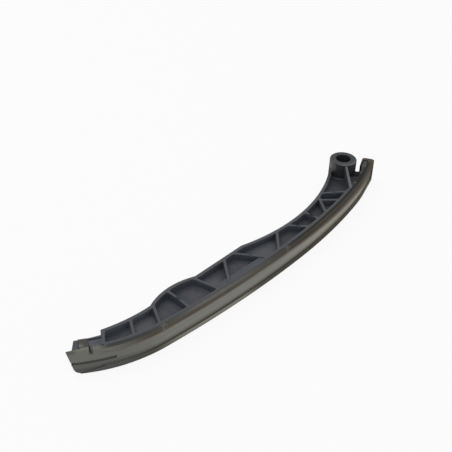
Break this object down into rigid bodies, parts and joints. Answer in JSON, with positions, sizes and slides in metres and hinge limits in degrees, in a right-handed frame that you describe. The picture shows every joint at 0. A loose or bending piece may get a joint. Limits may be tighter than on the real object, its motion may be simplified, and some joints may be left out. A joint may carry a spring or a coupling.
{
  "type": "timing chain guide",
  "caption": "Curved pivoting chain guide rail: a ribbed, webbed carrier with a tall bored pivot boss and a finger, faced with a lipped slide shoe that clips on at both ends.",
  "frame": {"origin": "on the pivot axis, halfway across the width of the carrier", "axes": "+Z along the pivot bore towards the tall end of the boss, +X along the guide from the nose towards the finger, -Y the shoe's side"},
  "size_m": [0.3126, 0.0461, 0.0253],
  "materials": {
    "carrier": "moulded glass-filled nylon",
    "shoe": "moulded wear nylon, oil-stained"
  },
  "bodies": {
    "root": {"carrier": "carrier", "shoe": "shoe"}
  },
  "joints": []
}
